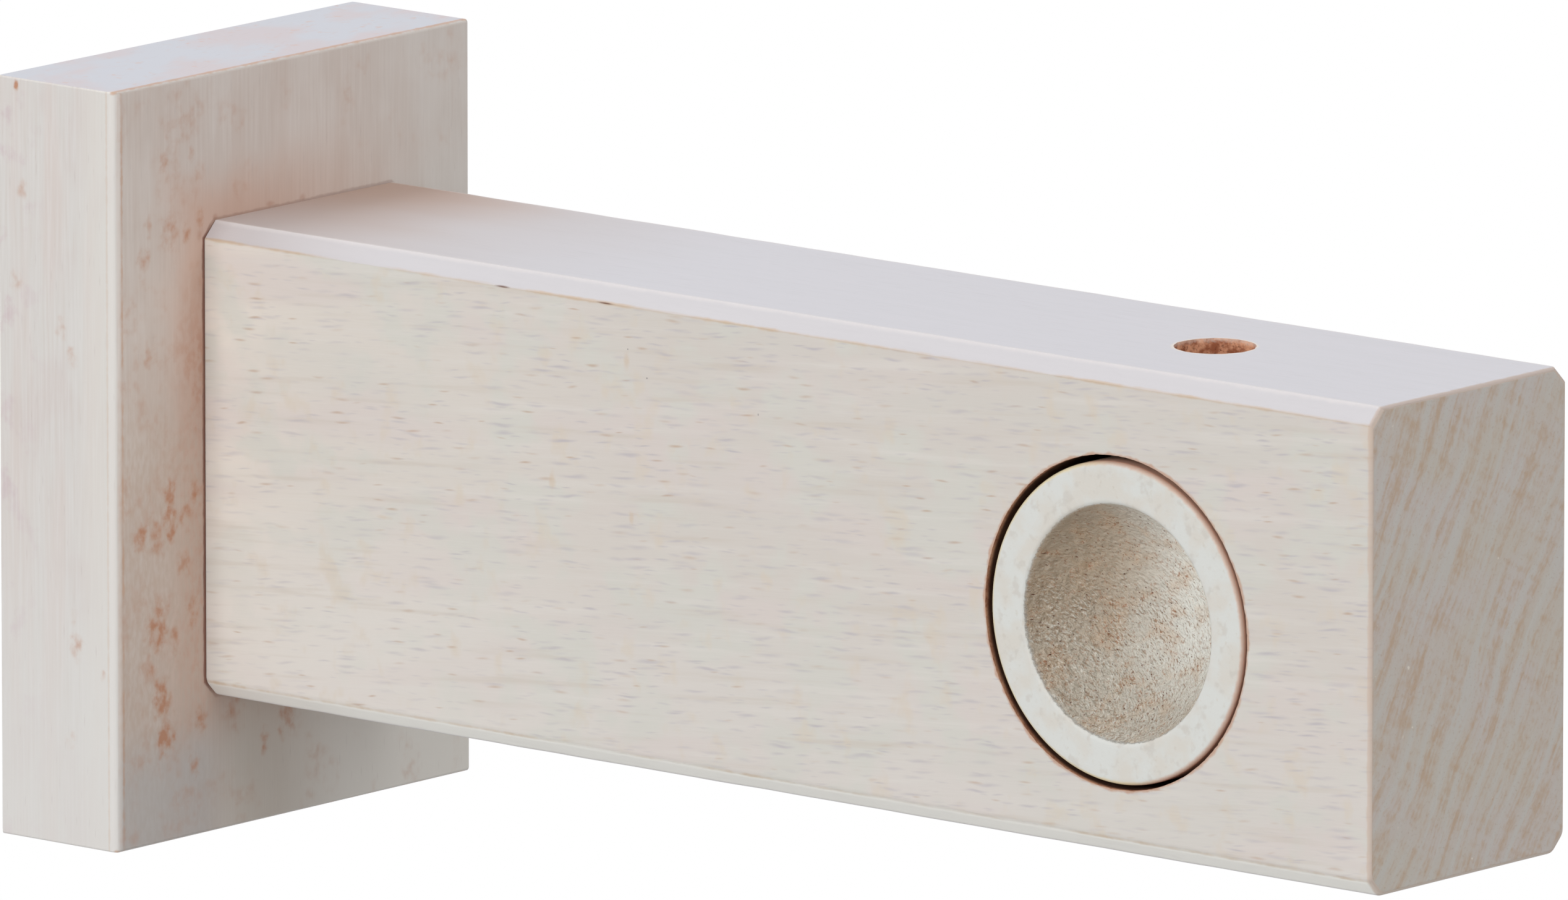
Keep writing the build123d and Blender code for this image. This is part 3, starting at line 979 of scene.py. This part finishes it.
plug_profile = []
lip_angle = math.asin((dish_mouth_radius - plug_lip_ease * 0.4) / dish_radius)
for step in range(dish_steps + 1):
    angle = lip_angle * step / dish_steps
    plug_profile.append(
        (dish_radius * math.sin(angle), dish_centre_y + dish_radius * math.cos(angle))
    )
lip_start = Vector(plug_profile[-1])
lip_end = Vector((dish_mouth_radius + plug_lip_ease, near_y))
lip_corner = Vector((dish_mouth_radius, near_y))
for step in range(1, 7):
    share = step / 6
    near_start = lip_start.lerp(lip_corner, share)
    near_end = lip_corner.lerp(lip_end, share)
    plug_profile.append(tuple(near_start.lerp(near_end, share)))
for step in range(1, 11):
    share = step / 11
    plug_profile.append(
        (lip_end.x + (plug_radius - plug_rim_ease - lip_end.x) * share, near_y)
    )
for turn in range(0, 91, 15):
    bend = math.radians(turn)
    plug_profile.append(
        (
            plug_radius - plug_rim_ease * (1 - math.sin(bend)),
            near_y + plug_rim_ease * (1 - math.cos(bend)),
        )
    )
plain_length = far_y - near_y - 2 * plug_rim_ease
for step in range(1, 12):
    plug_profile.append((plug_radius, near_y + plug_rim_ease + plain_length * step / 12))
for turn in range(0, 91, 30):
    bend = math.radians(turn)
    plug_profile.append(
        (
            plug_radius - plug_rim_ease * (1 - math.cos(bend)),
            far_y - plug_rim_ease * (1 - math.sin(bend)),
        )
    )
plug_profile += [(8.0, far_y), (2.0, far_y), (0, far_y)]
plug_profile[0] = (0, plug_profile[0][1])
plug_centre = (plug_mid.x, plug_mid.z)
plug = turned(
    "turned_plug", plug_centre, "Y", plug_profile, plug_steps, [paint_plug], plug_surface
)
settle(plug, angle=40)


# What each piece stands for

for piece, node, slot in (
    (arm, "arm", "limed_beech"),
    (plate, "back_plate", "limed_beech"),
    (plug, "cup_plug", "limed_end_grain"),
):
    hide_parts(node)
    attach(piece, "root")

for node, finish in (
    ("locking_screw", zinc),
    ("upper_joint_screw", zinc),
    ("lower_joint_screw", zinc),
    ("wall_insert_nut", brass),
):
    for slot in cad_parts[node].material_slots:
        slot.material = finish


# Floor, light and camera. The lamps' and the camera's lengths are in metres.

floor_z = plate_low.z - 120.0
floor_half = 3000.0
fade_start_m = 0.22
fade_end_m = 0.42
white = (1.0, 1.0, 1.0, 1.0)


def shader_node(tree, kind, operation=None):
    """A new node of the kind in the tree, set to the operation if it has one."""
    made = tree.nodes.new("ShaderNode" + kind)
    if operation is not None:
        made.operation = operation
    return made


def floor_material():
    """A matt floor that turns plain white for the camera away from the object."""
    material = bpy.data.materials.new("pale_floor")
    material.use_nodes = True
    tree = material.node_tree
    tree.nodes.clear()
    out = shader_node(tree, "OutputMaterial")
    matt = shader_node(tree, "BsdfDiffuse")
    tone = shader_node(tree, "MapRange")
    tone.inputs["To Min"].default_value = 0.5
    tone.inputs["To Max"].default_value = 0.9
    plain = shader_node(tree, "Emission")
    plain.inputs["Color"].default_value = white
    mix = shader_node(tree, "MixShader")
    place = shader_node(tree, "TexCoord")
    reach = shader_node(tree, "VectorMath", "LENGTH")
    fade = shader_node(tree, "MapRange")
    fade.interpolation_type = "SMOOTHSTEP"
    fade.inputs["From Min"].default_value = fade_start_m
    fade.inputs["From Max"].default_value = fade_end_m
    path = shader_node(tree, "LightPath")
    seen = shader_node(tree, "Math", "MULTIPLY")
    for source, target in (
        (place.outputs["Object"], reach.inputs[0]),
        (reach.outputs["Value"], fade.inputs[0]),
        (fade.outputs[0], seen.inputs[0]),
        (path.outputs["Is Camera Ray"], seen.inputs[1]),
        (path.outputs["Is Camera Ray"], tone.inputs[0]),
        (tone.outputs[0], matt.inputs["Color"]),
        (seen.outputs[0], mix.inputs[0]),
        (matt.outputs[0], mix.inputs[1]),
        (plain.outputs[0], mix.inputs[2]),
        (mix.outputs[0], out.inputs[0]),
    ):
        tree.links.new(source, target)
    return material


def studio_world():
    """White where the camera or a mirror sees it, and a soft grey gradient as light."""
    world = bpy.data.worlds.new("studio")
    world.use_nodes = True
    tree = world.node_tree
    tree.nodes.clear()
    out = shader_node(tree, "OutputWorld")
    glow = shader_node(tree, "Background")
    path = shader_node(tree, "LightPath")
    seen = shader_node(tree, "Math", "MAXIMUM")
    seen_all = shader_node(tree, "Math", "MAXIMUM")
    level = shader_node(tree, "MapRange")
    level.inputs["To Max"].default_value = 1.0
    sky = shader_node(tree, "TexCoord")
    parts = shader_node(tree, "SeparateXYZ")
    rise = shader_node(tree, "MapRange")
    rise.inputs["From Min"].default_value = -0.5
    rise.inputs["From Max"].default_value = 0.7
    rise.inputs["To Min"].default_value = 0.45
    rise.inputs["To Max"].default_value = 0.68
    for source, target in (
        (sky.outputs["Generated"], parts.inputs[0]),
        (parts.outputs["Z"], rise.inputs[0]),
        (rise.outputs[0], level.inputs["To Min"]),
        (path.outputs["Is Camera Ray"], seen.inputs[0]),
        (path.outputs["Is Glossy Ray"], seen.inputs[1]),
        (seen.outputs[0], seen_all.inputs[0]),
        (path.outputs["Is Transmission Ray"], seen_all.inputs[1]),
        (seen_all.outputs[0], level.inputs[0]),
        (level.outputs[0], glow.inputs["Strength"]),
        (glow.outputs[0], out.inputs[0]),
    ):
        tree.links.new(source, target)
    return world


bm = bmesh.new()
bmesh.ops.create_grid(bm, x_segments=1, y_segments=1, size=floor_half * MM)
floor = mesh_object("floor", bm, [floor_material()])
floor.location = Vector((arm_mid.x, 0.0, floor_z)) * MM
bpy.context.scene.world = studio_world()


def soft_lamp(name, direction, distance, size, watts):
    """A square lamp that shines on the object's middle; distance and size are in metres."""
    data = bpy.data.lights.new(name, "AREA")
    data.size = size
    data.energy = watts
    lamp = bpy.data.objects.new(name, data)
    bpy.context.scene.collection.objects.link(lamp)
    aim = Vector((arm_mid.x, 0.0, 0.0)) * MM
    lamp.location = aim + Vector(direction).normalized() * distance
    lamp.rotation_euler = (lamp.location - aim).to_track_quat("Z", "Y").to_euler()


soft_lamp("side_lamp", (-0.02, -1.0, 0.3), distance=1.2, size=0.6, watts=7.0)
soft_lamp("top_lamp", (-0.6, 0.1, 0.75), distance=1.2, size=0.7, watts=4.0)
soft_lamp("end_lamp", (1.0, 0.0, 0.7), distance=1.2, size=0.9, watts=4.0)

camera_data = bpy.data.cameras.new("camera")
camera_data.sensor_fit = "HORIZONTAL"
camera_data.sensor_width = 36.0
camera_data.lens = 709.78
camera_data.clip_end = 20.0
camera = bpy.data.objects.new("camera", camera_data)
bpy.context.scene.collection.objects.link(camera)
camera_aim = Vector((0.069929, 0.0, 0.005810))
camera_azimuth = math.radians(40.3616)
camera_height = math.radians(11.1399)
camera_distance = 2.67081
camera_way = Vector(
    (
        math.sin(camera_azimuth) * math.cos(camera_height),
        -math.cos(camera_azimuth) * math.cos(camera_height),
        math.sin(camera_height),
    )
)
camera.location = camera_aim + camera_way * camera_distance
camera.rotation_euler = camera_way.to_track_quat("Z", "Y").to_euler()
bpy.context.scene.camera = camera
bpy.context.scene.view_settings.view_transform = "Standard"
